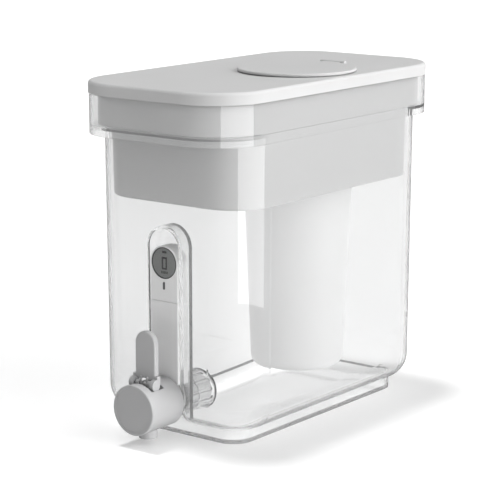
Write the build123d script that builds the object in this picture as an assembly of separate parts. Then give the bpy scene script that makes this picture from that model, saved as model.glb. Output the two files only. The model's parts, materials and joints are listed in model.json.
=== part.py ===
from build123d import *
import math
import os

# Gravity water filter with tap. Millimetres, +Z up, the tap faces -Y.
# The origin is the middle of the tank's foot, on the table.

# ---- clearances ----
seat_gap = 0.3        # between a piece and what carries it
side_gap = 0.4        # between pieces that slide into each other
run_gap = 0.05        # radial, shaft in its hole
snug = 0.02           # radial, pieces fixed into each other
root = 0.5            # how far one form sinks into another to join it

# ---- tank ----
tank_width = 163.0
tank_length = 266.0
tank_corner = 38.0
tank_wall = 3.0
tank_draft = 1.7      # how much narrower each side is at the bottom
tank_bottom = 10.5
bottom_round = 22.0
foot_side_step = 19.0   # the foot stands back from the tank's sides
foot_end_step = 17.0
foot_corner = 18.5
ledge_z = 252.0
ledge_thick = 2.5
collar_side_step = 1.3  # the collar stands out from the tank's sides
collar_end_step = 22.0
collar_corner = 46.0
collar_wall = 2.6
collar_rise = 25.2      # above the ledge
skirt_drop = 5.0      # the collar's skirt hangs this far below the ledge

# ---- niche in the front wall ----
niche_width = 31.4
niche_headroom = 19.5   # from the niche's crown to the reservoir's floor
niche_depth = 13.5
niche_wall = 2.5

# ---- grey column in the niche ----
column_play = 1.5       # each side, between the column and the niche
column_depth = 12.4
column_wall = 1.6
column_drop = 14.0       # column's top below the niche's crown
meter_height = 46.0
column_rise = 14.7       # column's foot above the tap's axis
tab_height = 4.5
tab_long = 7.0

# ---- meter ----
dial_rim = 1.2
bezel_ring = 0.8
display_depth = 2.3
panel_thick = 1.2
digit_gap = 0.15      # air between the panel and the lens
lens_thick = 0.8
cover_thick = 1.6
board_setback = 3.5     # behind the column's face
board_thick = 1.2
board_play = 2.7        # each side, between the board and the column's faces
board_rise = 7.5        # above the seam
cell_r = 5.8
cell_thick = 4.6
cell_pitch = 13.0
cell_rise = 15.0        # lower cell's middle above the seam
screw_r = 1.0
screw_head_r = 1.9
screw_head_thick = 1.0
boss_r = 2.4
screw_inset = 5.2
screw_long = 6.5
screw_hole = 7.0
mark_rise = 13.1        # read button's middle above the seam
mark_width = 1.8
mark_height = 6.2
button_travel = 0.5
button_proud = 0.4
button_flange = 1.0

# ---- tap ----
tap_z = 32.3
tap_r = 20.5
tap_length = 40.0
neck_length = 12.5      # from the niche's back to the barrel
tap_wall = 2.2
cap_lip = 0.4           # the front cap stands out round the barrel
cap_thick = 2.4
neck_r = 13.0
shank_r = 8.0
shank_wall = 3.0
gasket_thick = 1.8
gasket_r = 12.8
shank_length = 35.5
nut_wall = 9.0
thread_height = 0.6   # room for the thread between the shank and the nut
nut_lobes = 14
flute_r = 1.5
nut_setback = 2.2       # of the nut from the shank's end
ring_thick = 2.2
ring_wide = 2.4
outlet_setback = 21.5   # nozzle's axis in front of the barrel's back
outlet_r = 7.5
nozzle_drop = 5.8       # nozzle's tip below the barrel
seat_drop = 15.3        # valve seat below the tap's axis
seat_wide = 1.6
chamber_r = 6.2
chamber_wall = 1.8
bonnet_thick = 3.4
bonnet_sink = 0.2       # below the pocket's floor
stem_r = 2.0
stem_head_wide = 1.4
stem_head_thick = 1.6
packing_r = 0.6
seal_play = 0.8
seal_thick = 3.0
spring_wire = 0.8
spring_play = 1.8
spring_turns = 6

# ---- probes and their wires ----
wire_r = 0.9
wire_x = 3.0
wire_depth = 4.9        # in front of the niche's back
bridge_rise = 33.0      # wire guide above the column's foot
probe_r = 0.8
probe_dip = 1.0       # tip above the waterway's axis
probe_rise = 4.0      # top above the column's foot

# ---- lever ----
pivot_offset = 4.0      # in front of the nozzle's axis
pivot_sink = 1.0        # below the top of the barrel
ear_in = 4.2
ear_out = 7.4
ear_r = 2.7
knuckle_r = 4.7
cheek_out = 12.7
cheek_thick = 3.6
lever_width = 20.6
lever_thick = 4.6
lever_reach = 42.8      # above the pivot
pin_r = 1.5
prong_in = 2.5
prong_out = 3.6
prong_reach = 3.6     # behind the pivot
prong_thick = 1.4
head_drop = 1.4       # underside of the stem's head below the pivot
pocket_drop = 6.2       # pocket's floor below the pivot

# ---- reservoir ----
reservoir_play = 2.5    # each side, between the reservoir and the tank's wall
reservoir_corner_less = 4.0
reservoir_depth = 60.8  # below the band
reservoir_draft = 1.0
reservoir_wall = 2.2
band_side_play = 3.0    # between the band and the collar's wall
band_end_play = 5.4
band_corner_less = 6.0
band_height = 24.6
filter_setback = 83.0   # cartridge's axis from the tank's back
socket_r = 36.6
socket_height = 12.0
socket_wall = 4.8
lug_count = 3
lug_reach = 2.2       # how far the cartridge's lugs stand out
lug_height = 2.4
lug_half_angle = 12.0
slot_turn = 60.0      # from the locked lugs to the slots

# ---- filter ----
shell_top_r = 46.0
shell_low_r = 39.0
floor_gap = 23.0        # between the cartridge and the tank's floor
shell_wall = 2.0
shell_round = 8.0
shoulder_drop = 3.2   # shoulder below the reservoir's floor
neck_rise = 3.4       # neck above the socket's collar
seal_wide = 6.0
seal_slant = 1.0
outlet_ring_r = 14.0
outlet_ring_drop = 4.0
outlet_ring_wall = 3.0
outlet_bore_r = 8.5
spoke = 1.6
carbon_headroom = 14.8
carbon_depth = 58.0
screen_thick = 1.5
bed_gap = 0.15        # between the filling and the shell
cap_slots = 12
cap_rim = 2.5
cap_skirt = 5.0
cap_skirt_wall = 1.6
cap_slot_long = 17.0
cap_slot_wide = 3.2
cap_slot_middle = 21.0
cap_soft = 1.2
shoulder_soft = 1.5

# ---- lid and flap ----
lid_side_step = 0.2     # the lid stands out over the collar
lid_end_step = 1.0
lid_corner_more = 0.5
lid_height = 10.0
lid_wall = 2.5
lid_soft = 2.6
rib_drop = 7.0          # below the lid's edge
rib_thick = 1.8
pad_pitch_side = 60.0   # rests on the lid's long sides
pad_offset_end = 20.0
pad_half = 1.0
flap_inset = 57.0       # flap's middle from the lid's side
flap_y = 12.0
flap_lip = 4.0
flap_gap = 1.0        # shadow gap below the flap's edge
flap_thick = 2.2
flap_soft = 1.2
stopper_drop = 4.0    # plug ring under the flap, below the lid's top
stopper_wall = 1.8
curb_r = 46.0
curb_wall = 3.0
hinge_r = 2.0
hinge_pin_r = 1.1
hinge_half = 8.7
ear_thick = 3.5
hinge_rise = 0.4      # knuckle above the lid
hinge_stand = 1.0     # knuckle behind the flap's disc
ear_gap = 0.3         # beside the flap's knuckle
pin_inset = 0.9       # of the pin's ends in the ears

# ---- worked out: across and along ----
foot_width = tank_width - 2 * foot_side_step
foot_length = tank_length - 2 * foot_end_step
collar_width = tank_width + 2 * collar_side_step
collar_length = tank_length + 2 * collar_end_step
reservoir_width = tank_width - 2 * tank_wall - 2 * reservoir_play
reservoir_length = tank_length - 2 * tank_wall - 2 * reservoir_play
reservoir_corner = tank_corner - reservoir_corner_less
band_width = collar_width - 2 * collar_wall - 2 * band_side_play
band_length = collar_length - 2 * collar_wall - 2 * band_end_play
band_corner = collar_corner - band_corner_less
lid_width = collar_width + 2 * lid_side_step
lid_length = collar_length + 2 * lid_end_step
lid_corner = collar_corner + lid_corner_more
niche_back = niche_depth - tank_length / 2
niche_inside = niche_back + niche_wall
column_width = niche_width - 2 * column_play
column_front = niche_back - column_depth
board_front = column_front + board_setback
board_width = column_width - 2 * board_play
dial_r = column_width / 2 - dial_rim
tap_back = niche_back - neck_length
tap_front = tap_back - tap_length
cap_r = tap_r + cap_lip
waterway_r = shank_r - shank_wall
shank_end = niche_back + shank_length
nut_r = shank_r + nut_wall
nut_back = shank_end - nut_setback
ring_inner_r = nut_r - ring_wide
outlet_y = tap_back - outlet_setback
seal_r = chamber_r - seal_play
seat_r = seal_r - seat_wide
spring_r = chamber_r - spring_play
stem_head_r = stem_r + stem_head_wide
pivot_y = outlet_y - pivot_offset
wire_y = niche_back - wire_depth
filter_y = tank_length / 2 - filter_setback
neck_r_filter = socket_r - side_gap
flap_r = curb_r + flap_lip
flap_x = lid_width / 2 - flap_inset
hinge_y = flap_y + flap_r + hinge_r + hinge_stand
hinge_reach = hinge_half + ear_gap + ear_thick
meter_back = niche_back - seat_gap
cup_back = column_front + display_depth + 1.0

# ---- worked out: heights ----
ledge_top = ledge_z + ledge_thick
collar_top = ledge_top + collar_rise
band_low = ledge_top + seat_gap
band_top = band_low + band_height
reservoir_low = band_low - reservoir_depth
socket_top = reservoir_low + reservoir_wall + socket_height
neck_top = socket_top + neck_rise
shoulder_z = reservoir_low - shoulder_drop
shell_low = tank_wall + floor_gap
carbon_top = shoulder_z - carbon_headroom
resin_top = carbon_top - carbon_depth
lid_low = collar_top + seat_gap
lid_top = lid_low + lid_height
rib_low = lid_low - rib_drop
flap_low = lid_top + flap_gap
flap_top = flap_low + flap_thick
hinge_z = lid_top + hinge_r + hinge_rise
niche_top = reservoir_low - niche_headroom
column_top = niche_top - column_drop
column_seam = column_top - meter_height
column_foot = tap_z + column_rise
arch_z = column_top - column_width / 2
meter_low = column_seam + seat_gap
board_low = column_seam + board_rise
cell_low_z = column_seam + cell_rise
mark_z = column_seam + mark_rise
bridge_z = column_foot + bridge_rise
probe_low = tap_z + probe_dip
probe_top = column_foot + probe_rise
pivot_z = tap_z + tap_r - pivot_sink
head_low = pivot_z - head_drop
lever_top = pivot_z + lever_reach
pocket_low = pivot_z - pocket_drop
bonnet_top = pocket_low - bonnet_sink
bonnet_low = bonnet_top - bonnet_thick
seat_z = tap_z - seat_drop
outlet_tip = tap_z - tap_r - nozzle_drop
screw_side = column_width / 2 - screw_inset
low_screw_z = meter_low + column_wall + boss_r - root / 5
top_screw_z = column_top - column_wall - boss_r
screw_spots = [(-screw_side, low_screw_z), (screw_side, low_screw_z), (0, top_screw_z)]


# ---- small helpers ----
def flat(width, length, corner, z, y=0):
    """Rounded rectangle lying flat."""
    return Pos(0, y, z) * RectangleRounded(width, length, corner)


def slab(width, length, corner, low, high):
    """Straight prism on a rounded rectangle."""
    return extrude(flat(width, length, corner, low), high - low)


def drafted(width, length, corner, low, high, draft):
    """Rounded block whose sides lean in by draft towards the bottom."""
    small = flat(width - 2 * draft, length - 2 * draft, corner - draft, low)
    return loft([small.face(), flat(width, length, corner, high).face()], ruled=True)


def facing(y):
    """Plane at y that looks towards -Y; its own x is X and its own y is Z."""
    return Plane((0, y, 0), x_dir=(1, 0, 0), z_dir=(0, -1, 0))


def forward(sketch, back, front):
    """Extrude a sketch drawn in X and Z from back to front along Y."""
    return extrude(facing(back) * sketch, back - front)


def rod(radius, low, high, x=0, y=0):
    """Upright cylinder."""
    return Pos(x, y, (low + high) / 2) * Cylinder(radius, high - low)


def rod_y(radius, back, front, x=0, z=0):
    """Cylinder along Y."""
    return forward(Pos(x, z) * Circle(radius), back, front)


def rod_x(radius, left, right, y, z):
    """Cylinder along X."""
    turned = Rot(0, 90, 0) * Cylinder(radius, right - left)
    return Pos((left + right) / 2, y, z) * turned


def block(left, right, front, back, low, high):
    """Box from its six sides."""
    middle = Pos((left + right) / 2, (front + back) / 2, (low + high) / 2)
    return middle * Box(right - left, back - front, high - low)


def arch(width, low, top):
    """Upright shape with a half-round top, drawn in X and Z."""
    spring = top - width / 2
    stem = Pos(0, (low + spring) / 2) * Rectangle(width, spring - low)
    return stem + Pos(0, spring) * Circle(width / 2)


def turned(points, x=0, y=0):
    """Solid of revolution about an upright axis from a list of (r, z)."""
    outline = Polyline(*[(r, 0, z) for r, z in points], close=True)
    return Pos(x, y, 0) * revolve(make_face(outline), Axis.Z)


def save(shape, name):
    """Write one node."""
    export_step(shape, f"parts/{name}.step")


# ---- tank ----
def tank_outside():
    body = drafted(tank_width, tank_length, tank_corner, tank_bottom, ledge_top, tank_draft)
    return fillet(body.edges().group_by(Axis.Z)[0], bottom_round)


def tank_inside():
    inner = drafted(
        tank_width - 2 * tank_wall,
        tank_length - 2 * tank_wall,
        tank_corner - tank_wall,
        tank_bottom + tank_wall,
        ledge_top + 1,
        tank_draft,
    )
    inner = fillet(inner.edges().group_by(Axis.Z)[0], bottom_round - tank_wall)
    sump = slab(
        foot_width - 2 * tank_wall,
        foot_length - 2 * tank_wall,
        foot_corner - tank_wall,
        tank_wall,
        tank_bottom + tank_wall + 1,
    )
    return inner + sump


def collar_bore(low, high):
    return slab(
        collar_width - 2 * collar_wall,
        collar_length - 2 * collar_wall,
        collar_corner - collar_wall,
        low,
        high,
    )


def make_tank():
    outside = tank_outside()
    foot = slab(foot_width, foot_length, foot_corner, 0, tank_bottom + tank_wall)
    skirt_low = ledge_z - skirt_drop
    collar = slab(collar_width, collar_length, collar_corner, skirt_low, collar_top)
    under_ledge = collar_bore(skirt_low - 1, ledge_z) - outside
    niche_shell = arch(niche_width + 2 * niche_wall, 0, niche_top + niche_wall)
    niche_block = forward(niche_shell, niche_inside, -tank_length / 2) & outside
    recess = forward(arch(niche_width, -1, niche_top), niche_back, tap_front)
    tap_hole = rod_y(shank_r + side_gap, niche_inside + 1, niche_back - 1, 0, tap_z)
    tank = outside + foot + collar - under_ledge
    tank -= tank_inside()
    tank -= collar_bore(ledge_top, collar_top + 1)
    tank += niche_block
    return tank - recess - tap_hole


# ---- column cover and what it hides ----
def column_shell(low, high_sketch, hollow_sketch):
    solid = forward(high_sketch, niche_back - seat_gap, column_front)
    hollow = forward(hollow_sketch, niche_back + 1, column_front + column_wall)
    return solid - hollow


def make_column_cover():
    height = column_seam - column_foot
    middle = column_foot + height / 2
    face = Pos(0, middle) * Rectangle(column_width, height)
    core = Pos(0, middle - column_wall) * Rectangle(column_width - 2 * column_wall, height)
    cover = column_shell(column_foot, face, core)
    cover = fillet(cover.edges().filter_by(Axis.Z).group_by(Axis.Y)[0], 0.8)
    tab_out = niche_width / 2 - seat_gap
    tab_z = column_seam - tab_height
    tab_back = niche_back - seat_gap
    for side in (-1, 1):
        left, right = sorted((side * (column_width / 2 - 0.5), side * tab_out))
        cover += block(left, right, tab_back - tab_long, tab_back, tab_z, column_seam - 1)
        left, right = sorted((side * (column_width / 2 - column_wall), 0))
        cover += block(left, right, wire_y - 2.4, wire_y + 2.4, bridge_z, bridge_z + 2)
    for side in (-1, 1):
        cover -= rod(wire_r + snug, bridge_z - 1, column_seam + 1, side * wire_x, wire_y)
    return cover


def make_sensor_lead():
    low = probe_top + snug
    high = column_seam + seat_gap
    wires = [rod(wire_r, low, high, side * wire_x, wire_y) for side in (-1, 1)]
    return Compound(wires)


def make_probe_pins():
    pins = [rod(probe_r, probe_low, probe_top, side * wire_x, wire_y) for side in (-1, 1)]
    return Compound(pins)


# ---- tap ----
def tap_chamber():
    """Upright tube for the valve, its nozzle and the waterway to the rear."""
    tube = rod(chamber_r + chamber_wall, seat_z - 3, pocket_low, 0, outlet_y)
    nozzle = rod(outlet_r, outlet_tip, seat_z, 0, outlet_y)
    way = rod_y(waterway_r + chamber_wall, tap_back - 1, outlet_y, 0, tap_z)
    return tube + nozzle + way


def make_tap_body():
    barrel = rod_y(tap_r, tap_back, tap_front + cap_thick, 0, tap_z)
    barrel = fillet(barrel.edges().group_by(Axis.Y)[-1], 1.2)
    room = rod_y(tap_r - tap_wall, tap_back - tap_wall, tap_front, 0, tap_z)
    room -= block(-tap_r, tap_r, tap_front, tap_back, pocket_low - tap_wall, tap_z + tap_r)
    pocket = block(
        -cheek_out - side_gap,
        cheek_out + side_gap,
        pivot_y - knuckle_r - 1.6,
        outlet_y + stem_head_r + 1.4,
        pocket_low,
        tap_z + tap_r + 1,
    )
    neck_end = niche_back - gasket_thick
    neck = rod_y(neck_r, neck_end, tap_back - 1, 0, tap_z)
    shank = rod_y(shank_r, shank_end, neck_end - 1, 0, tap_z)
    body = barrel - room - pocket + tap_chamber() + neck + shank
    for side in (-1, 1):
        left, right = sorted((side * ear_in, side * ear_out))
        ear = block(left, right, pivot_y - ear_r, pivot_y + ear_r, pocket_low - 0.5, pivot_z)
        body += ear + rod_x(ear_r, left, right, pivot_y, pivot_z)
    body -= rod(chamber_r, seat_z, bonnet_low, 0, outlet_y)
    body -= rod(chamber_r + 0.8, bonnet_low, pocket_low + 1, 0, outlet_y)
    body -= rod(seat_r, seat_z - 4, seat_z + 1, 0, outlet_y)
    body -= rod(outlet_r - 2.2, outlet_tip - 1, seat_z - 2.4, 0, outlet_y)
    body -= rod_y(waterway_r, shank_end + 1, outlet_y, 0, tap_z)
    body -= rod_x(pin_r + snug, -ear_out - 1, ear_out + 1, pivot_y, pivot_z)
    for side in (-1, 1):
        hole = rod(probe_r + snug, tap_z, tap_z + neck_r + 1, side * wire_x, wire_y)
        body -= hole
    return body


def make_tap_front_cap():
    disc = rod_y(cap_r, tap_front + cap_thick, tap_front, 0, tap_z)
    disc = fillet(disc.edges().group_by(Axis.Y)[0], 1.0)
    dish = rod_y(cap_r - 2.4, tap_front + 0.5, tap_front - 1, 0, tap_z)
    spigot_r = tap_r - tap_wall - run_gap
    spigot = rod_y(spigot_r, tap_front + cap_thick + 3, tap_front + cap_thick - 0.5, 0, tap_z)
    spigot -= rod_y(spigot_r - 1.6, tap_front + 9, tap_front, 0, tap_z)
    keep = block(-tap_r, tap_r, tap_front, tap_back, 0, pocket_low - tap_wall - 0.6)
    return disc - dish + (spigot & keep)


def make_valve_bonnet():
    plug = rod(chamber_r + 0.8 - snug, bonnet_low, bonnet_top, 0, outlet_y)
    sleeve = rod(stem_r + 1.4, bonnet_low - 4, bonnet_low + 1, 0, outlet_y)
    bore = rod(stem_r + run_gap, bonnet_low - 5, bonnet_top + 1, 0, outlet_y)
    groove_r = stem_r + run_gap + 2 * packing_r + snug
    groove = rod(groove_r, bonnet_top - 2 * packing_r - 0.3, bonnet_top + 1, 0, outlet_y)
    return plug + sleeve - bore - groove


def make_stem_packing():
    ring_r = stem_r + run_gap + packing_r
    return Pos(0, outlet_y, bonnet_top - packing_r - 0.2) * Torus(ring_r, packing_r)


def make_valve_stem():
    stem = rod(stem_r, seat_z + 1, head_low + 1, 0, outlet_y)
    head = rod(stem_head_r, head_low, head_low + stem_head_thick, 0, outlet_y)
    collar = rod(seal_r - 0.3, seat_z + seal_thick, seat_z + seal_thick + 1.6, 0, outlet_y)
    return stem + head + collar


def make_valve_seal():
    cup = turned(
        [
            (stem_r + snug, seat_z + 1 - snug),
            (0, seat_z + 1 - snug),
            (0, seat_z),
            (seal_r - 0.6, seat_z),
            (seal_r, seat_z + 0.8),
            (seal_r, seat_z + seal_thick),
            (stem_r + snug, seat_z + seal_thick),
        ],
        0,
        outlet_y,
    )
    return cup


def make_return_spring():
    low = seat_z + seal_thick + 1.6 + spring_wire / 2 + 0.05
    high = bonnet_low - spring_wire / 2 - 0.05
    coil = Helix((high - low) / spring_turns, high - low, spring_r)
    section = Plane(coil @ 0, z_dir=coil % 0) * Circle(spring_wire / 2)
    return Pos(0, outlet_y, low) * sweep(section, path=coil)


def make_lever_pins():
    end = cheek_out - 0.6
    left = rod_x(pin_r, -end, -ear_in, pivot_y, pivot_z)
    return Compound([left, rod_x(pin_r, ear_in, end, pivot_y, pivot_z)])


def gasket(back):
    washer = Circle(gasket_r) - Circle(shank_r + run_gap)
    return forward(Pos(0, tap_z) * washer, back, back - gasket_thick)


def make_tap_nut():
    front = niche_inside + gasket_thick
    nut = rod_y(nut_r, nut_back, front, 0, tap_z)
    nut = chamfer(nut.edges().group_by(Axis.Y)[-1], 1.0)
    for k in range(nut_lobes):
        turn = math.radians(360 / nut_lobes * (k + 0.5))
        x, z = nut_r * math.cos(turn), tap_z + nut_r * math.sin(turn)
        nut -= rod_y(flute_r, nut_back - 5, front - 1, x, z)
    nut -= rod_y(ring_inner_r - 1.4, nut_back + 1, nut_back - 18, 0, tap_z)
    nut += rod_y(shank_r + thread_height + 1.8, nut_back, front, 0, tap_z)
    seat = Pos(0, tap_z) * (Circle(nut_r + 1) - Circle(ring_inner_r - snug))
    nut -= forward(seat, nut_back + 1, nut_back - ring_thick)
    return nut - rod_y(shank_r + thread_height, nut_back + 1, front - 1, 0, tap_z)


def make_nut_ring():
    section = Circle(nut_r + 0.2) - Circle(ring_inner_r)
    ring = forward(Pos(0, tap_z) * section, nut_back, nut_back - ring_thick + snug)
    return fillet(ring.edges().filter_by(GeomType.CIRCLE).group_by(SortBy.RADIUS)[-1], 0.7)


# ---- lever ----
def make_lever():
    back = pivot_y + 1.0 + lever_thick
    front = pivot_y + 1.0
    plate = forward(arch(lever_width, pivot_z + 4, lever_top), back, front)
    plate = fillet(plate.edges().group_by(Axis.Y)[0], 1.2)
    lever = plate
    for side in (-1, 1):
        left, right = sorted((side * (cheek_out - cheek_thick), side * cheek_out))
        lever += rod_x(knuckle_r, left, right, pivot_y, pivot_z)
        lever += block(left, right, front, back - 0.8, pivot_z, pivot_z + 7)
        inner = sorted((side * (cheek_out - cheek_thick), side * 4))
        lever += block(inner[0], inner[1], front, back - 0.8, pivot_z + 3.6, pivot_z + 7)
    low = head_low - side_gap - prong_thick
    for side in (-1, 1):
        left, right = sorted((side * prong_in, side * prong_out))
        prong_end = pivot_y + prong_reach
        lever += block(left, right, pivot_y - 1.0, prong_end, low, low + prong_thick)
        lever += block(left, right, pivot_y - 1.0, pivot_y, low, pivot_z + 5)
        lever += block(left, right, pivot_y - 1.0, back - 1, pivot_z + 4, pivot_z + 6)
    for side in (-1, 1):
        inner, outer = sorted((side * (ear_out + 1), side * (cheek_out - 0.4)))
        lever -= rod_x(pin_r + run_gap, inner, outer, pivot_y, pivot_z)
    return lever


# ---- meter ----
def make_meter_housing():
    shell = forward(arch(column_width, meter_low, column_top), meter_back, column_front)
    shell = fillet(shell.edges().group_by(Axis.Y)[0].filter_by(lambda e: e.center().Z > meter_low + 1), 0.8)
    core = arch(column_width - 2 * column_wall, meter_low + column_wall, column_top - column_wall)
    shell -= forward(core, meter_back + 1, column_front + column_wall)
    cup = rod_y(dial_r + dial_rim, cup_back, column_front + 0.5, 0, arch_z)
    shell += cup & forward(arch(column_width, meter_low, column_top), meter_back, column_front)
    shell -= rod_y(dial_r, column_front + display_depth, column_front - 1, 0, arch_z)
    for x, z in screw_spots:
        boss_end = cup_back - 0.3 if z > mark_z else column_front + 1
        boss = rod_y(boss_r, meter_back - cover_thick, boss_end, x, z)
        shell += boss - rod_y(screw_r, meter_back, meter_back - screw_hole, x, z)
    slot = Pos(0, mark_z) * SlotOverall(mark_height + 0.4, mark_width + 0.4, rotation=90)
    return shell - forward(slot, column_front + 4, column_front - 1)


def make_meter_back_cover():
    width = column_width - 2 * column_wall - 2 * side_gap / 2
    face = arch(width, meter_low + column_wall + side_gap / 2, column_top - column_wall - side_gap / 2)
    plate = forward(face, meter_back, meter_back - cover_thick + snug)
    for x, z in screw_spots:
        plate -= rod_y(screw_r + run_gap, meter_back + 1, meter_back - 2 * cover_thick, x, z)
        plate -= rod_y(screw_head_r + run_gap, meter_back + 1, meter_back - screw_head_thick, x, z)
    return plate


def make_meter_screws():
    screws = []
    for x, z in screw_spots:
        head = rod_y(screw_head_r, meter_back - 0.1, meter_back - screw_head_thick, x, z)
        shaft = rod_y(screw_r - snug, meter_back - screw_head_thick / 2, meter_back - screw_long, x, z)
        screws.append(head + shaft)
    return Compound(screws)


def make_display_bezel():
    section = Circle(dial_r - snug) - Circle(dial_r - bezel_ring)
    return forward(Pos(0, arch_z) * section, column_front + display_depth - snug, column_front + 0.1)


def make_display_panel():
    back = column_front + display_depth - snug
    return rod_y(dial_r - bezel_ring - snug, back, back - panel_thick, 0, arch_z)


def make_display_lens():
    back = column_front + display_depth - panel_thick - digit_gap
    return rod_y(dial_r - bezel_ring - snug, back, back - lens_thick, 0, arch_z)


def make_circuit_board():
    top = screw_spots[2][1] - boss_r - side_gap
    face = arch(board_width, board_low, arch_z + board_width / 2)
    face &= Pos(0, (board_low + top) / 2) * Rectangle(board_width, top - board_low)
    board = forward(face, board_front + board_thick, board_front)
    switch_front = column_front + column_wall + button_flange + button_travel + 0.15
    board += block(-1.6, 1.6, switch_front, board_front + 0.1, mark_z - 1.6, mark_z + 1.6)
    return board


def make_button_cells():
    front = board_front + board_thick + snug
    cells = [rod_y(cell_r, front + cell_thick, front, 0, cell_low_z + k * cell_pitch) for k in (0, 1)]
    return Compound(cells)


def make_read_button():
    face = Pos(0, mark_z) * SlotOverall(mark_height, mark_width, rotation=90)
    back = column_front + column_wall + 0.05
    cap = forward(face, back + 0.2, column_front - button_proud)
    flange = Pos(0, mark_z) * SlotOverall(mark_height + 2.4, mark_width + 2.0, rotation=90)
    return cap + forward(flange, back + button_flange, back)


# ---- reservoir ----
def make_reservoir():
    body = drafted(
        reservoir_width, reservoir_length, reservoir_corner, reservoir_low, band_low, reservoir_draft
    )
    body = fillet(body.edges().group_by(Axis.Z)[0], 2.5)
    band = slab(band_width, band_length, band_corner, band_low, band_top)
    inner = drafted(
        reservoir_width - 2 * reservoir_wall,
        reservoir_length - 2 * reservoir_wall,
        reservoir_corner - reservoir_wall,
        reservoir_low + reservoir_wall,
        band_low + reservoir_wall,
        reservoir_draft,
    )
    inner = fillet(inner.edges().group_by(Axis.Z)[0], 4)
    mouth = slab(
        band_width - 2 * reservoir_wall,
        band_length - 2 * reservoir_wall,
        band_corner - reservoir_wall,
        band_low + reservoir_wall,
        band_top + 1,
    )
    socket = rod(socket_r + socket_wall, reservoir_low, socket_top, 0, filter_y)
    shell = body + band - inner - mouth + socket
    shell -= rod(socket_r, reservoir_low - 1, socket_top + 1, 0, filter_y)
    slots = lug_ring(side_gap, reservoir_low - 1, socket_top + 1, slot_turn)
    return shell - slots


# ---- bayonet between the cartridge and the reservoir ----
def lug_ring(clear, low, high, turn):
    """Arc-shaped blocks round the cartridge's neck, evenly spaced."""
    reach = 2 * (neck_r_filter + lug_reach)
    half = math.radians(lug_half_angle) + clear / neck_r_filter
    wedge = Polyline((0, 0), (reach, -reach * math.tan(half)), (reach, reach * math.tan(half)), close=True)
    sector = make_face(wedge) & Circle(neck_r_filter + lug_reach + clear)
    sector -= Circle(neck_r_filter - 1)
    block_one = extrude(Pos(0, 0, low) * sector, high - low)
    lugs = [Rot(0, 0, turn + 360 / lug_count * k) * block_one for k in range(lug_count)]
    return Pos(0, filter_y, 0) * Compound(lugs)


# ---- filter ----
def shell_radius(z):
    share = (z - shell_low) / (shoulder_z - shell_low)
    return shell_low_r + share * (shell_top_r - shell_low_r)


def make_filter_shell():
    outer = turned([(0, shell_low), (shell_low_r, shell_low), (shell_top_r, shoulder_z), (0, shoulder_z)])
    outer = fillet(outer.edges().filter_by(GeomType.CIRCLE).group_by(Axis.Z)[0], shell_round)
    outer = fillet(outer.edges().filter_by(GeomType.CIRCLE).group_by(Axis.Z)[-1], shoulder_soft)
    low = shell_low + shell_wall
    high = shoulder_z - shell_wall
    low_r = shell_radius(low) - shell_wall
    high_r = shell_radius(high) - shell_wall
    inner = turned([(0, low), (low_r, low), (high_r, high), (0, high)])
    inner = fillet(inner.edges().filter_by(GeomType.CIRCLE).group_by(Axis.Z)[0], shell_round - shell_wall)
    neck = rod(neck_r_filter, shoulder_z - 1, neck_top)
    bore = rod(neck_r_filter - shell_wall, shoulder_z - 3, neck_top + 1)
    drain = rod(outlet_ring_r - outlet_ring_wall, shell_low - 1, low + 1)
    shell = Pos(0, filter_y, 0) * (outer + neck - inner - bore - drain)
    lug_low = socket_top + seat_gap
    return shell + lug_ring(0, lug_low, lug_low + lug_height, 0)


def make_filter_cap():
    top_r = neck_r_filter - shell_wall - run_gap
    rim = rod(neck_r_filter, neck_top, neck_top + cap_rim)
    skirt = rod(top_r, neck_top - cap_skirt, neck_top + root)
    skirt -= rod(top_r - cap_skirt_wall, neck_top - 2 * cap_skirt, neck_top)
    cap = rim + skirt
    cap = fillet(cap.edges().filter_by(GeomType.CIRCLE).group_by(Axis.Z)[-1], cap_soft)
    for k in range(cap_slots):
        slot = Pos(cap_slot_middle, 0, neck_top) * Box(cap_slot_long, cap_slot_wide, 3 * cap_rim)
        cap -= Rot(0, 0, 360 / cap_slots * k) * slot
    return Pos(0, filter_y, 0) * cap


def make_filter_seal():
    low = shoulder_z
    high = reservoir_low - seat_gap
    inner = neck_r_filter + run_gap
    section = [(inner, low), (inner + seal_wide, low), (inner + seal_wide - seal_slant, high), (inner, high)]
    return turned(section, 0, filter_y)


def bed(low, high):
    """Round filling that follows the shell's taper."""
    low_r = shell_radius(low) - shell_wall - bed_gap
    high_r = shell_radius(high) - shell_wall - bed_gap
    return turned([(0, low), (low_r, low), (high_r, high), (0, high)], 0, filter_y)


def make_resin_bed():
    filling = bed(shell_low + shell_wall + screen_thick + bed_gap, resin_top)
    return fillet(filling.edges().filter_by(GeomType.CIRCLE).group_by(Axis.Z)[0], shell_round - shell_wall)


def make_bottom_screen():
    low = shell_low + shell_wall
    radius = shell_low_r - shell_round - root
    return rod(radius, low, low + screen_thick, 0, filter_y)


def make_middle_screen():
    return bed(resin_top, resin_top + screen_thick)


def make_carbon_bed():
    return bed(resin_top + screen_thick, carbon_top)


def make_top_screen():
    return bed(carbon_top, carbon_top + screen_thick)


def make_filter_outlet():
    ring = rod(outlet_ring_r, shell_low - outlet_ring_drop, shell_low - snug)
    ring += rod(outlet_ring_r - outlet_ring_wall - snug, shell_low - 1, shell_low + shell_wall - snug)
    ring -= rod(outlet_bore_r, shell_low - 2 * outlet_ring_drop, shell_low + 2 * outlet_ring_drop)
    for turn in (0, 90):
        bar = Box(2 * outlet_bore_r + 2, spoke, spoke)
        ring += Pos(0, 0, shell_low - outlet_ring_drop + spoke / 2) * (Rot(0, 0, turn) * bar)
    return Pos(0, filter_y, 0) * ring


# ---- lid ----
def flap_rod(radius, low, high):
    return rod(radius, low, high, flap_x, flap_y)


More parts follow.
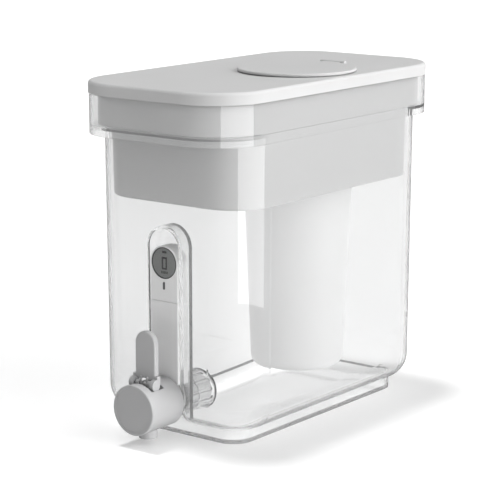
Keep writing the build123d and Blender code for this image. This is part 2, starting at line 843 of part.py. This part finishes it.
def make_lid():
    lid = slab(lid_width, lid_length, lid_corner, lid_low, lid_top)
    lid = fillet(lid.edges().group_by(Axis.Z)[-1], lid_soft)
    under = lid_top - lid_wall
    inner_width = lid_width - 2 * lid_wall
    inner_length = lid_length - 2 * lid_wall
    lid -= slab(inner_width, inner_length, lid_corner - lid_wall, lid_low - 1, under)
    rib_width = band_width - 2 * reservoir_wall - 2 * side_gap
    rib_length = band_length - 2 * reservoir_wall - 2 * side_gap
    rib_corner = band_corner - reservoir_wall - side_gap
    rib = slab(rib_width, rib_length, rib_corner, rib_low, under + 0.5)
    rib -= slab(
        rib_width - 2 * rib_thick, rib_length - 2 * rib_thick, rib_corner - rib_thick, rib_low - 1, lid_top
    )
    lid += rib
    pad_low = band_top + seat_gap
    for side in (-1, 1):
        for y in (-pad_pitch_side, 0, pad_pitch_side):
            x = sorted((side * (rib_width / 2 - root), side * (lid_width / 2 - lid_wall - root)))
            lid += block(x[0], x[1], y - pad_half, y + pad_half, pad_low, under + root)
        for x in (-pad_offset_end, pad_offset_end):
            y = sorted((side * (rib_length / 2 - root), side * (lid_length / 2 - lid_wall - root)))
            lid += block(x - pad_half, x + pad_half, y[0], y[1], pad_low, under + root)
    lid += flap_rod(curb_r, under - 1.5, flap_low - seat_gap)
    for side in (-1, 1):
        x = sorted((flap_x + side * (hinge_half + ear_gap), flap_x + side * hinge_reach))
        lid += block(x[0], x[1], hinge_y - hinge_r, hinge_y + hinge_r, lid_top - 1, hinge_z)
        lid += rod_x(hinge_r, x[0], x[1], hinge_y, hinge_z)
    end = hinge_reach - pin_inset + snug
    lid -= rod_x(hinge_pin_r + snug, flap_x - end, flap_x + end, hinge_y, hinge_z)
    return lid - flap_rod(curb_r - curb_wall, rib_low, flap_top)


def make_flap_pin():
    end = hinge_reach - pin_inset
    return rod_x(hinge_pin_r, flap_x - end, flap_x + end, hinge_y, hinge_z)


def make_flap():
    disc = flap_rod(flap_r, flap_low, flap_top)
    disc = fillet(disc.edges().group_by(Axis.Z)[-1], flap_soft)
    stop_r = curb_r - curb_wall - side_gap
    stop_low = lid_top - stopper_drop
    disc += flap_rod(stop_r, stop_low, flap_low + root)
    disc -= flap_rod(stop_r - stopper_wall, stop_low - 1, flap_low)
    lug = block(
        flap_x - hinge_half, flap_x + hinge_half, flap_y + flap_r - hinge_r, hinge_y, flap_low, flap_top
    )
    lug += rod_x(hinge_r, flap_x - hinge_half, flap_x + hinge_half, hinge_y, hinge_z)
    bore = rod_x(hinge_pin_r + run_gap, flap_x - 2 * hinge_half, flap_x + 2 * hinge_half, hinge_y, hinge_z)
    return disc + lug - bore


# ---- write every node ----
os.makedirs("parts", exist_ok=True)
NODES = {
    "tank": make_tank,
    "column_cover": make_column_cover,
    "sensor_lead": make_sensor_lead,
    "probe_pins": make_probe_pins,
    "tap_body": make_tap_body,
    "tap_front_cap": make_tap_front_cap,
    "valve_bonnet": make_valve_bonnet,
    "stem_packing": make_stem_packing,
    "valve_stem": make_valve_stem,
    "valve_seal": make_valve_seal,
    "return_spring": make_return_spring,
    "lever_pins": make_lever_pins,
    "tap_nut": make_tap_nut,
    "nut_ring": make_nut_ring,
    "lever": make_lever,
    "meter_housing": make_meter_housing,
    "meter_back_cover": make_meter_back_cover,
    "meter_screws": make_meter_screws,
    "display_bezel": make_display_bezel,
    "display_panel": make_display_panel,
    "display_lens": make_display_lens,
    "circuit_board": make_circuit_board,
    "button_cells": make_button_cells,
    "read_button": make_read_button,
    "reservoir": make_reservoir,
    "filter_shell": make_filter_shell,
    "filter_cap": make_filter_cap,
    "filter_seal": make_filter_seal,
    "resin_bed": make_resin_bed,
    "carbon_bed": make_carbon_bed,
    "bottom_screen": make_bottom_screen,
    "middle_screen": make_middle_screen,
    "top_screen": make_top_screen,
    "filter_outlet": make_filter_outlet,
    "lid": make_lid,
    "flap_pin": make_flap_pin,
    "flap": make_flap,
}
for name, make in NODES.items():
    save(make(), name)
save(gasket(niche_back), "outer_gasket")
save(gasket(niche_inside + gasket_thick), "inner_gasket")
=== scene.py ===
import json
import math

import bmesh
import bpy
from mathutils import Matrix, Vector


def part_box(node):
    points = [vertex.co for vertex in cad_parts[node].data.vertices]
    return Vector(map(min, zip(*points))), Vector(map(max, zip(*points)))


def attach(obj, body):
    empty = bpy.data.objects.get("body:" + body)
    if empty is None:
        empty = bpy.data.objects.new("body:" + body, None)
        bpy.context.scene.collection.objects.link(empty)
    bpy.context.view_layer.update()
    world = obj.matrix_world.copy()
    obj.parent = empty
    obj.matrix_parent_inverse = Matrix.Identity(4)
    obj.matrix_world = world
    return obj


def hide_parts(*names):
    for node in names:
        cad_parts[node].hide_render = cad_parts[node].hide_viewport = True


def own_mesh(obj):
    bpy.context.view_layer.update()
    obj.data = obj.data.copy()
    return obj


# Gravity water filter with a tap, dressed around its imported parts.
# Metres, +Z up. The tap faces -Y, and +X is on the right of a person who faces it.
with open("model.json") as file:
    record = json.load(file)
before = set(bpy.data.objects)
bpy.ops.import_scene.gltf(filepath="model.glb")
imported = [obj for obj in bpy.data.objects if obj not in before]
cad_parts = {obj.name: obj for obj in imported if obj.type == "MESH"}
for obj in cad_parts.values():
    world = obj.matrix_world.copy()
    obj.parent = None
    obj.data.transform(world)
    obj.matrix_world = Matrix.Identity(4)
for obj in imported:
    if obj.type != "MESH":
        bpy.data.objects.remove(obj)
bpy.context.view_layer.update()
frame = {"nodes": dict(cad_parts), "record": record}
MM = 0.001
QUARTER_TURN = math.radians(90)
FULL_TURN = 2 * math.pi
RIGHTWARDS = (1, 0, 0)
FORWARDS = (0, -1, 0)
BACKWARDS = (0, 1, 0)
UPWARDS = (0, 0, 1)

# ---- camera ----
AIM = Vector((-14.16, 0.0, 133.2)) * MM
CAMERA_TURN = math.radians(37.626)      # from straight in front, towards +X
CAMERA_RISE = math.radians(11.921)
CAMERA_DISTANCE = 1654.9 * MM
CAMERA_LENS = 138.074
CAMERA_SENSOR = 36
CAMERA_NEAR = 50 * MM
CAMERA_FAR = 60


def make_camera():
    flat = math.cos(CAMERA_RISE)
    back = Vector((math.sin(CAMERA_TURN) * flat, -math.cos(CAMERA_TURN) * flat, math.sin(CAMERA_RISE)))
    data = bpy.data.cameras.new("camera")
    data.sensor_width = CAMERA_SENSOR
    data.lens = CAMERA_LENS
    data.clip_start = CAMERA_NEAR
    data.clip_end = CAMERA_FAR
    camera = bpy.data.objects.new("camera", data)
    camera.location = AIM + back * CAMERA_DISTANCE
    camera.rotation_mode = "QUATERNION"
    camera.rotation_quaternion = (-back).to_track_quat("-Z", "Y")
    bpy.context.scene.collection.objects.link(camera)
    bpy.context.scene.camera = camera


# ---- nodes that the light and the finishes share ----
FIELD_LOW = 0.3         # a noise field lies between these two nearly everywhere
FIELD_HIGH = 0.7


def feed(tree, value, socket):
    """Puts a number, or another node's output, into a socket."""
    if isinstance(value, bpy.types.NodeSocket):
        tree.links.new(value, socket)
    else:
        socket.default_value = value


def chain(tree, kind, operation, *inputs):
    step = tree.nodes.new(kind)
    step.operation = operation
    for place, value in enumerate(inputs):
        feed(tree, value, step.inputs[place])
    return step.outputs["Value"]


def maths(tree, operation, *inputs):
    return chain(tree, "ShaderNodeMath", operation, *inputs)


def along(tree, vector, way):
    """How far a vector reaches along a way of length 1."""
    return chain(tree, "ShaderNodeVectorMath", "DOT_PRODUCT", vector, way)


def ramped(tree, value, start, end, low, high, kind="LINEAR"):
    """Goes from low to high as the value goes from start to end."""
    ramp = tree.nodes.new("ShaderNodeMapRange")
    ramp.interpolation_type = kind
    ends = {"From Min": start, "From Max": end, "To Min": low, "To Max": high}
    for name, number in ends.items():
        ramp.inputs[name].default_value = number
    tree.links.new(value, ramp.inputs["Value"])
    return ramp.outputs["Result"]


def eased(tree, value, start, end, low, high):
    return ramped(tree, value, start, end, low, high, "SMOOTHSTEP")


def ranged(tree, field, low, high):
    return ramped(tree, field, FIELD_LOW, FIELD_HIGH, low, high)


def swapped(tree, share, usual, other):
    """The usual value, or the other one where the share is 1."""
    choice = tree.nodes.new("ShaderNodeMix")
    feed(tree, share, choice.inputs["Factor"])
    feed(tree, usual, choice.inputs["A"])
    feed(tree, other, choice.inputs["B"])
    return choice.outputs["Result"]


def start_material(name):
    made = bpy.data.materials.new(name)
    made.use_nodes = True
    tree = made.node_tree
    return made, tree, tree.nodes["Principled BSDF"]


# ---- light ----
ROOM_LIGHT = 0.2                # even, all round above the horizon
WINDOW_WALL = (1, 0.3, 0.05)    # the way to the middle of the room's bright side
WINDOW_LIGHT = 4.1              # more, at that middle
WINDOW_EDGE = 0.5               # cosine of the angle from the middle at which it starts
SEEN_THROUGH_CLEAR = 0.76       # what shows of the room through a clear wall
SEEN_INSIDE_CLEAR = 0.9         # and to rays that were turned back within the wall
CARD_DIM = 0.15                 # what gloss reflects below the horizon, on the left
CARD_PALE = 0.45                # and on the right
CARD_FADE = 0.3                 # sine of the angle each side of the middle over which it changes
SOFTBOX_LIGHT = 4.5             # more, between these two bearings from +X
SOFTBOX_LEFT = math.radians(-44)
SOFTBOX_RIGHT = math.radians(26)
SOFTBOX_FOOT = math.radians(-14.3)
OVERHEAD_LIGHT = 1.55
OVERHEAD_TILT = math.radians(-9)
OVERHEAD_SPREAD = math.radians(9)


def bearing(angle):
    return Vector((math.cos(angle), math.sin(angle), 0))


def leans(tree, ray, way, more_than=0.0):
    """1 where the ray reaches further than that along the way, and 0 elsewhere."""
    return maths(tree, "GREATER_THAN", along(tree, ray, way), more_than)


def light_above(tree, ray):
    """Even light with one bright side."""
    facing = along(tree, ray, Vector(WINDOW_WALL).normalized())
    return eased(tree, facing, WINDOW_EDGE, 1.0, ROOM_LIGHT, ROOM_LIGHT + WINDOW_LIGHT)


def light_below(tree, ray):
    """A card, paler on the right, with a sharp-edged softbox in front of it."""
    card = eased(tree, along(tree, ray, RIGHTWARDS), -CARD_FADE, CARD_FADE, CARD_DIM, CARD_PALE)
    past_left = leans(tree, ray, bearing(SOFTBOX_LEFT + QUARTER_TURN))
    before_right = leans(tree, ray, bearing(SOFTBOX_RIGHT - QUARTER_TURN))
    above_foot = leans(tree, ray, UPWARDS, math.sin(SOFTBOX_FOOT))
    softbox = maths(tree, "MULTIPLY", above_foot, maths(tree, "MULTIPLY", past_left, before_right))
    return maths(tree, "MULTIPLY_ADD", softbox, SOFTBOX_LIGHT, card)


def make_room():
    """A pale room, brighter to the right. The floor hides its lower half from all but gloss."""
    world = bpy.data.worlds.new("studio")
    world.use_nodes = True
    tree = world.node_tree
    ray = tree.nodes.new("ShaderNodeTexCoord").outputs["Generated"]
    path = tree.nodes.new("ShaderNodeLightPath").outputs
    low = maths(tree, "LESS_THAN", along(tree, ray, UPWARDS), 0.0)
    lit = swapped(tree, low, light_above(tree, ray), light_below(tree, ray))
    inside = maths(tree, "GREATER_THAN", path["Transmission Depth"], 0.5)
    turned_back = maths(tree, "MULTIPLY", path["Is Glossy Ray"], inside)
    seen = swapped(tree, turned_back, lit, SEEN_INSIDE_CLEAR)
    seen = swapped(tree, path["Is Transmission Ray"], seen, SEEN_THROUGH_CLEAR)
    background = tree.nodes["Background"]
    background.inputs["Color"].default_value = (1, 1, 1, 1)
    tree.links.new(seen, background.inputs["Strength"])
    bpy.context.scene.world = world
    bpy.context.scene.view_settings.view_transform = "Standard"


def make_overhead():
    lamp = bpy.data.lights.new("overhead", "SUN")
    lamp.energy = OVERHEAD_LIGHT
    lamp.angle = OVERHEAD_SPREAD
    holder = bpy.data.objects.new("overhead", lamp)
    holder.rotation_euler = (0, OVERHEAD_TILT, 0)
    bpy.context.scene.collection.objects.link(holder)


# ---- floor ----
FLOOR_WHITE = (0.92, 0.92, 0.92, 1)
FLOOR_ROUGHNESS = 0.9
FLOOR_HALF = 12
FLOOR_GLOW = 0.2                        # on top of the light that falls on it, for the camera
# Painted light: under the clear foot the floor glows to rays seen through the foot, more towards the tap and
# both sides, in place of the light that falls through the foot.
FOOT_HALF = Vector((62.3, 115.8)) * MM
UNDER_FOOT_GLOW = 0.2                   # the same, seen through the clear foot
UNDER_FRONT_GLOW = 0.05                 # more towards the tap
FRONT_FADE = (20 * MM, 100 * MM)        # growing between these distances from the middle
UNDER_SIDE_GLOW = 0.1                   # more towards both sides
SIDE_FADE = (30 * MM, 55 * MM)


def painted_light_under_foot(tree):
    """Painted light: how much the floor glows where the clear foot stands on it, in place of the light that
    falls through the foot, and 0 elsewhere.
    """
    place = tree.nodes.new("ShaderNodeTexCoord").outputs["Object"]
    sideways = maths(tree, "ABSOLUTE", along(tree, place, RIGHTWARDS))
    lengthways = maths(tree, "ABSOLUTE", along(tree, place, BACKWARDS))
    forward = along(tree, place, FORWARDS)
    within_sides = maths(tree, "LESS_THAN", sideways, FOOT_HALF.x)
    within_ends = maths(tree, "LESS_THAN", lengthways, FOOT_HALF.y)
    within = maths(tree, "MULTIPLY", within_sides, within_ends)
    front = eased(tree, forward, *FRONT_FADE, UNDER_FOOT_GLOW, UNDER_FOOT_GLOW + UNDER_FRONT_GLOW)
    side = eased(tree, sideways, *SIDE_FADE, 0.0, UNDER_SIDE_GLOW)
    return maths(tree, "MULTIPLY", within, maths(tree, "ADD", front, side))


def floor_finish():
    """White sweep that the camera sees a little overexposed, with painted light under the clear foot for
    rays seen through it.
    """
    made, tree, shader = start_material("studio_floor")
    shader.inputs["Base Color"].default_value = FLOOR_WHITE
    shader.inputs["Roughness"].default_value = FLOOR_ROUGHNESS
    shader.inputs["Specular IOR Level"].default_value = 0.0
    shader.inputs["Emission Color"].default_value = (1, 1, 1, 1)
    path = tree.nodes.new("ShaderNodeLightPath").outputs
    # painted light on the floor under the foot, only for rays seen through the clear foot
    seen_through = maths(tree, "MULTIPLY", path["Is Transmission Ray"], painted_light_under_foot(tree))
    glow = maths(tree, "MULTIPLY_ADD", path["Is Camera Ray"], FLOOR_GLOW, seen_through)
    tree.links.new(glow, shader.inputs["Emission Strength"])
    return made


def make_floor():
    mesh = bpy.data.meshes.new("floor")
    form = bmesh.new()
    bmesh.ops.create_grid(form, x_segments=1, y_segments=1, size=FLOOR_HALF)
    form.to_mesh(mesh)
    form.free()
    floor = bpy.data.objects.new("floor", mesh)
    floor.visible_glossy = False
    bpy.context.scene.collection.objects.link(floor)
    mesh.materials.append(floor_finish())


# ---- finishes ----
PLASTIC_IOR = 1.48
PLASTIC_CLOUDS = 22         # broad unevenness, in waves a metre
SHEEN_PLAY = 0.08           # share by which it changes the roughness
CLEAR_IOR = 1.49
CLEAR_CLOUDS = 14
CLEAR_SHADE = 0.992         # the darkest of a clear wall's tint
CLEAR_SHEEN = 1.6           # the dullest of its skin
CLEAR_RIPPLES = 30
METAL_STREAKS = 900
METAL_STRETCH = (1, 12, 12)
METAL_SHADE = 0.9
METAL_SHEEN = 1.5
GRAIN_ROUGHNESS = 0.6
GRAIN_DEPTH = 0.4           # share of a grain's size


def noise(tree, scale, detail, stretch=(1, 1, 1)):
    place = tree.nodes.new("ShaderNodeTexCoord")
    spread = tree.nodes.new("ShaderNodeMapping")
    spread.inputs["Scale"].default_value = stretch
    field = tree.nodes.new("ShaderNodeTexNoise")
    field.inputs["Scale"].default_value = scale
    field.inputs["Detail"].default_value = detail
    tree.links.new(place.outputs["Object"], spread.inputs["Vector"])
    tree.links.new(spread.outputs["Vector"], field.inputs["Vector"])
    return field.outputs["Fac"]


def mixed(tree, share, first, second):
    blend = tree.nodes.new("ShaderNodeMix")
    blend.data_type = "RGBA"
    blend.inputs["A"].default_value = (*first, 1)
    blend.inputs["B"].default_value = (*second, 1)
    tree.links.new(share, blend.inputs["Factor"])
    return blend.outputs["Result"]


def bumped(tree, shader, height, depth):
    bump = tree.nodes.new("ShaderNodeBump")
    bump.inputs["Distance"].default_value = depth
    bump.inputs["Strength"].default_value = 1.0
    tree.links.new(height, bump.inputs["Height"])
    tree.links.new(bump.outputs["Normal"], shader.inputs["Normal"])


def shaded(colour, share):
    return tuple(min(1, part * share) for part in colour)


def grey(tone):
    return (tone, tone, tone)


def moulded(name, colour, roughness, grain, depth, mottle):
    """Opaque moulded plastic: a fine eroded grain, and a faint unevenness of colour and sheen."""
    made, tree, shader = start_material(name)
    clouds = noise(tree, PLASTIC_CLOUDS, 3)
    tint = mixed(tree, ranged(tree, clouds, 0, 1), shaded(colour, 1 - mottle), shaded(colour, 1 + mottle))
    sheen = ranged(tree, clouds, roughness * (1 - SHEEN_PLAY), roughness * (1 + SHEEN_PLAY))
    tree.links.new(tint, shader.inputs["Base Color"])
    tree.links.new(sheen, shader.inputs["Roughness"])
    shader.inputs["IOR"].default_value = PLASTIC_IOR
    bumped(tree, shader, noise(tree, grain, 4), depth)
    return made


def clear(name, colour, roughness, ripple, haze):
    """Clear moulded plastic with a faint ripple in its skin and a little milkiness."""
    made, tree, shader = start_material(name)
    clouds = noise(tree, CLEAR_CLOUDS, 2)
    tint = mixed(tree, ranged(tree, clouds, 0, 1), shaded(colour, CLEAR_SHADE), colour)
    tree.links.new(tint, shader.inputs["Base Color"])
    tree.links.new(ranged(tree, clouds, roughness, roughness * CLEAR_SHEEN), shader.inputs["Roughness"])
    shader.inputs["Transmission Weight"].default_value = 1.0 - haze
    shader.inputs["IOR"].default_value = CLEAR_IOR
    bumped(tree, shader, noise(tree, CLEAR_RIPPLES, 2), ripple)
    return made


def metal(name, colour, roughness):
    """Drawn wire or turned steel, with streaks along X."""
    made, tree, shader = start_material(name)
    streaks = noise(tree, METAL_STREAKS, 3, METAL_STRETCH)
    tint = mixed(tree, ranged(tree, streaks, 0, 1), shaded(colour, METAL_SHADE), colour)
    tree.links.new(tint, shader.inputs["Base Color"])
    tree.links.new(ranged(tree, streaks, roughness, roughness * METAL_SHEEN), shader.inputs["Roughness"])
    shader.inputs["Metallic"].default_value = 1.0
    return made


def granular(name, middle, edge, size):
    """Loose beads or granules, seen as a packed bed."""
    made, tree, shader = start_material(name)
    place = tree.nodes.new("ShaderNodeTexCoord")
    cells = tree.nodes.new("ShaderNodeTexVoronoi")
    cells.inputs["Scale"].default_value = 1 / size
    tree.links.new(place.outputs["Object"], cells.inputs["Vector"])
    tree.links.new(mixed(tree, cells.outputs["Distance"], middle, edge), shader.inputs["Base Color"])
    shader.inputs["Roughness"].default_value = GRAIN_ROUGHNESS
    bumped(tree, shader, cells.outputs["Distance"], size * GRAIN_DEPTH)
    return made


# Colour, roughness, grains a metre, their depth, and the share by which the colour varies.
MOULDED = {
    "reservoir_grey": (grey(0.64), 0.42, 1800, 0.01 * MM, 0.012),
    "lid_grey": (grey(0.59), 0.6, 1500, 0.02 * MM, 0.012),
    "tap_grey": ((0.48, 0.48, 0.485), 0.42, 1500, 0.015 * MM, 0.012),
    "lever_grey": ((0.5, 0.5, 0.505), 0.42, 1500, 0.015 * MM, 0.012),
    "column_pale": (grey(0.9), 0.4, 1500, 0.012 * MM, 0.008),
    "button_grey": ((0.14, 0.14, 0.145), 0.4, 1500, 0.01 * MM, 0.02),
    "dark_plastic": ((0.02, 0.02, 0.022), 0.35, 1500, 0.01 * MM, 0.05),
    "display_grey": ((0.265, 0.275, 0.27), 0.3, 900, 0.005 * MM, 0.02),
    "display_ink": ((0.008, 0.008, 0.009), 0.7, 1500, 0.005 * MM, 0.05),
    "rubber_dark": ((0.03, 0.03, 0.032), 0.62, 1200, 0.03 * MM, 0.08),
    "rubber_pale": ((0.7, 0.7, 0.69), 0.6, 1200, 0.03 * MM, 0.02),
    "wire_black": (grey(0.02), 0.5, 1200, 0.01 * MM, 0.05),
    "board_green": ((0.03, 0.16, 0.07), 0.4, 600, 0.02 * MM, 0.1),
    "filter_white": (grey(0.95), 0.45, 1500, 0.02 * MM, 0.01),
    "screen_white": (grey(0.8), 0.8, 900, 0.1 * MM, 0.05),
}
# Colour, roughness, the ripple's depth, and the share that is milky.
CLEAR = {
    "tank_clear": ((0.985, 0.987, 0.988), 0.012, 0.01 * MM, 0.06),
    "nut_clear": ((0.985, 0.987, 0.988), 0.04, 0.03 * MM, 0.15),
    "lens_clear": (grey(0.97), 0.02, 0.005 * MM, 0.0),
}
# Colour and roughness.
METAL = {
    "steel": ((0.72, 0.72, 0.73), 0.25),
    "pin_steel": ((0.16, 0.16, 0.165), 0.35),
}
# Colour in the middle of a grain and at its edge, and its size.
GRANULAR = {
    "bed_resin": ((0.6, 0.45, 0.22), (0.85, 0.75, 0.5), 0.8 * MM),
    "bed_carbon": (grey(0.01), grey(0.05), 1.2 * MM),
}
KINDS = ((moulded, MOULDED), (clear, CLEAR), (metal, METAL), (granular, GRANULAR))
FINISHES = {name: make(name, *row) for make, rows in KINDS for name, row in rows.items()}


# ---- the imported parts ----
# Parts that differ in tone from the others of their slot.
FINER_FINISH = {
    "column_cover": "column_pale",
    "meter_housing": "column_pale",
    "meter_back_cover": "column_pale",
    "lever_pins": "pin_steel",
    "read_button": "button_grey",
}
LIGHT_PASSES = ("tank", "tap_nut")


def dress_frame():
    """Gives each part the finish of its slot, or one of its own."""
    finish = {row["node"]: row["material_slot"] for row in frame["record"]["subparts"]}
    finish.update(FINER_FINISH)
    for name, node in frame["nodes"].items():
        for place in node.material_slots:
            place.material = FINISHES[finish[name]]
    for name in LIGHT_PASSES:
        frame["nodes"][name].visible_shadow = False


# ---- pieces of the scene ----
TURN_STEPS = 28


def add_piece(name, form, body, finish):
    mesh = bpy.data.meshes.new(name)
    form.to_mesh(mesh)
    form.free()
    piece = bpy.data.objects.new(name, mesh)
    bpy.context.scene.collection.objects.link(piece)
    mesh.materials.append(FINISHES[finish])
    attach(piece, body)
    return piece


def wind(form, centre, axis, pitch, turns):
    """Sweeps the closed section in the form along a helix about an axis through the centre."""
    section = [*form.verts, *form.edges, *form.faces]
    bmesh.ops.spin(form, geom=section, cent=centre, axis=axis, dvec=Vector(axis) * pitch / TURN_STEPS,
                   angle=FULL_TURN * turns, steps=round(TURN_STEPS * turns), use_merge=False)
    bmesh.ops.recalc_face_normals(form, faces=form.faces)


# The marks on the display's panel. A rise is from the panel's middle.
INK_THICK = 0.04 * MM
INK_STANDOFF = 0.03 * MM
INK_CORNER = 0.5 * MM
BAR = Vector((4.6, 1.9)) * MM
BAR_RISE = 8.9 * MM
ZERO = Vector((5.6, 10.4)) * MM
ZERO_RISE = -0.3 * MM
ZERO_STROKE = 1.6 * MM
TICK = Vector((0.95, 2.1)) * MM
TICK_RISE = -7.8 * MM
TICK_CORNER = 0.2 * MM
TICK_PITCH = 1.4 * MM
TICK_COUNT = 5


def ink_plate(form, size, middle, corner, stroke=0.0):
    """One printed mark that faces the user: a thin plate with round corners, or a ring of that stroke."""
    earlier = set(form.faces)
    corners = bmesh.ops.create_grid(form, x_segments=1, y_segments=1, size=0.5)["verts"]
    bmesh.ops.scale(form, vec=(size.x, size.y, 1), verts=corners)
    bmesh.ops.rotate(form, cent=(0, 0, 0), matrix=Matrix.Rotation(QUARTER_TURN, 3, "X"), verts=corners)
    bmesh.ops.translate(form, vec=middle, verts=corners)
    bmesh.ops.bevel(form, geom=corners, offset=corner, offset_type="OFFSET", affect="VERTICES",
                    segments=3, profile=0.5, material=-1)
    faces = [face for face in form.faces if face not in earlier]
    if stroke:
        ring = bmesh.ops.inset_region(form, faces=faces, thickness=stroke, use_boundary=True,
                                      use_even_offset=True)
        bmesh.ops.delete(form, geom=faces, context="FACES")
        faces = ring["faces"]
    raised = bmesh.ops.extrude_face_region(form, geom=faces, use_keep_orig=True)
    lifted = [v for v in raised["geom"] if isinstance(v, bmesh.types.BMVert)]
    bmesh.ops.translate(form, vec=(0, -INK_THICK, 0), verts=lifted)


def make_display_marks():
    """A bar, a zero and a row of ticks on the display's panel, behind its lens."""
    low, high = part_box("display_panel")
    centre = (low + high) / 2
    on_panel = Vector((centre.x, low.y - INK_STANDOFF, centre.z))
    form = bmesh.new()
    ink_plate(form, BAR, on_panel + Vector((0, 0, BAR_RISE)), INK_CORNER)
    ink_plate(form, ZERO, on_panel + Vector((0, 0, ZERO_RISE)), INK_CORNER, ZERO_STROKE)
    for place in range(TICK_COUNT):
        along_row = (place - (TICK_COUNT - 1) / 2) * TICK_PITCH
        ink_plate(form, TICK, on_panel + Vector((along_row, 0, TICK_RISE)), TICK_CORNER)
    bmesh.ops.recalc_face_normals(form, faces=form.faces)
    add_piece("display_marks", form, "meter", "display_ink")


SHANK_R = 8.0 * MM
THREAD_PITCH = 2.0 * MM
THREAD_HEIGHT = 0.45 * MM
THREAD_SUNK = 0.1 * MM          # the ridge starts this far inside the shank's skin
THREAD_ROOT_HALF = 0.3          # half the ridge's width, as a share of the pitch
THREAD_CREST_HALF = 0.08


def make_shank_thread():
    """The ridge that the clear nut runs on, wound along the tap's shank inside the tank."""
    low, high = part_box("tap_nut")
    centre = (low + high) / 2
    start = Vector((centre.x, low.y + THREAD_PITCH / 2, centre.z))
    root = SHANK_R - THREAD_SUNK
    crest = SHANK_R + THREAD_HEIGHT
    root_half = THREAD_PITCH * THREAD_ROOT_HALF
    crest_half = THREAD_PITCH * THREAD_CREST_HALF
    profile = ((-root_half, root), (-crest_half, crest), (crest_half, crest), (root_half, root))
    form = bmesh.new()
    form.faces.new([form.verts.new(start + Vector((0, shift, reach))) for shift, reach in profile])
    wind(form, start, BACKWARDS, THREAD_PITCH, (high.y - low.y) / THREAD_PITCH - 1)
    add_piece("shank_thread", form, "tank", "tap_grey")


SPRING_WIRE_R = 0.4 * MM
SPRING_WIRE_SIDES = 10
SPRING_TURNS = 6


def make_spring_coil():
    """The tap's return spring, which is pressed together against the bonnet as the valve lifts."""
    low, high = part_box("return_spring")
    centre = (low + high) / 2
    height = high.z - low.z
    start = Vector((high.x - SPRING_WIRE_R, centre.y, low.z + SPRING_WIRE_R))
    form = bmesh.new()
    wire = bmesh.ops.create_circle(form, cap_ends=True, segments=SPRING_WIRE_SIDES, radius=SPRING_WIRE_R)
    bmesh.ops.rotate(form, cent=(0, 0, 0), matrix=Matrix.Rotation(QUARTER_TURN, 3, "X"), verts=wire["verts"])
    bmesh.ops.translate(form, vec=start, verts=wire["verts"])
    wind(form, centre, UPWARDS, (height - 2 * SPRING_WIRE_R) / SPRING_TURNS, SPRING_TURNS)
    coil = add_piece("spring_coil", form, "tank", "steel")
    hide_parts("return_spring")
    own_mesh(coil)


make_camera()
make_room()
make_overhead()
make_floor()
dress_frame()
make_display_marks()
make_shank_thread()
make_spring_coil()
